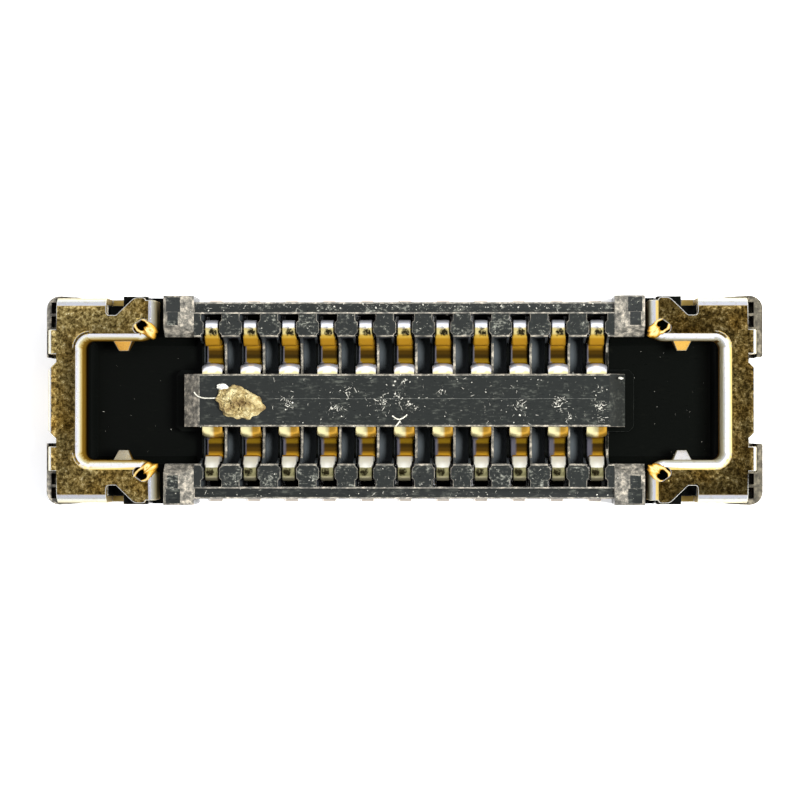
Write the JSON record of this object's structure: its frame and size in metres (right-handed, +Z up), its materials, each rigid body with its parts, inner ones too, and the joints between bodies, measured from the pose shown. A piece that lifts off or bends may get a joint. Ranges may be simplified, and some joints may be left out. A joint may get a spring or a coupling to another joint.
{
  "type": "board-to-board connector receptacle",
  "caption": "Fine-pitch board-to-board receptacle for a flexible circuit: moulded housing with a centre island, two rows of formed spring contacts and a folded hold-down fitting over each end.",
  "frame": {"origin": "middle of the solder plane, under the housing's centre", "axes": "+X along the contact rows, +Y across them towards row a, +Z up from the board, the way the plug leaves"},
  "size_m": [0.0066, 0.002, 0.0006],
  "materials": {
    "plastic": "moulded dark liquid crystal polymer, satin, edges worn pale",
    "plate_gold": "dull grainy flash gold over nickel on a stamped copper alloy sheet",
    "contact_gold": "bright gold plate on formed copper alloy strip"
  },
  "bodies": {
    "root": {"housing": "plastic", "fitting_left": "plate_gold", "fitting_right": "plate_gold", "contact_a01": "contact_gold", "contact_a02": "contact_gold", "contact_a03": "contact_gold", "contact_a04": "contact_gold", "contact_a05": "contact_gold", "contact_a06": "contact_gold", "contact_a07": "contact_gold", "contact_a08": "contact_gold", "contact_a09": "contact_gold", "contact_a10": "contact_gold", "contact_a11": "contact_gold", "contact_b01": "contact_gold", "contact_b02": "contact_gold", "contact_b03": "contact_gold", "contact_b04": "contact_gold", "contact_b05": "contact_gold", "contact_b06": "contact_gold", "contact_b07": "contact_gold", "contact_b08": "contact_gold", "contact_b09": "contact_gold", "contact_b10": "contact_gold", "contact_b11": "contact_gold"}
  },
  "joints": []
}
